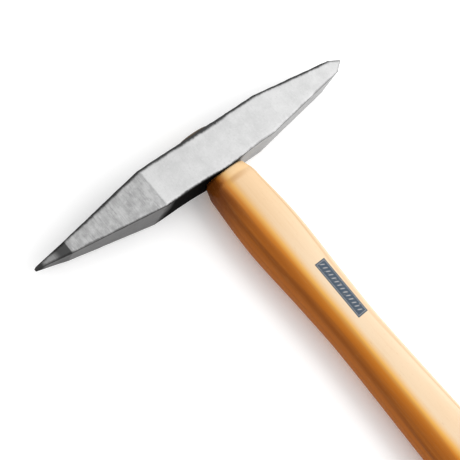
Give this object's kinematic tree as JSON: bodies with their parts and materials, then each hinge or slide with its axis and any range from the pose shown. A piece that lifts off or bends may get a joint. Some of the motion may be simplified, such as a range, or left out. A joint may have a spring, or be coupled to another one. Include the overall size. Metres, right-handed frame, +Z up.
{
  "type": "chipping hammer",
  "caption": "Welder's chipping hammer: a forged steel head with a point at one end and a cross chisel at the other, wedged on an oval wooden handle.",
  "frame": {"origin": "on the lower side face of the head, straight under the centre line of the handle: the hammer lies on its side and the table is the plane z = 0", "axes": "+X from the point to the chisel edge, +Y along the handle from its butt to the top of the head, +Z up through the head's thickness"},
  "size_m": [0.18, 0.3, 0.0194],
  "materials": {
    "forged_steel": "drop-forged steel, side faces and ends ground bright across their length, dark scale left on the long edges and parts of the underside",
    "varnished_wood": "pale hardwood with straight grain along the handle, under clear glossy varnish",
    "bare_wood": "sawn hardwood, unvarnished",
    "wedge_steel": "plain rolled steel strip, peened where it was driven"
  },
  "bodies": {
    "root": {"hammer_head": "forged_steel", "handle": "varnished_wood", "wood_wedge": "bare_wood", "steel_wedge_1": "wedge_steel", "steel_wedge_2": "wedge_steel"}
  },
  "joints": []
}
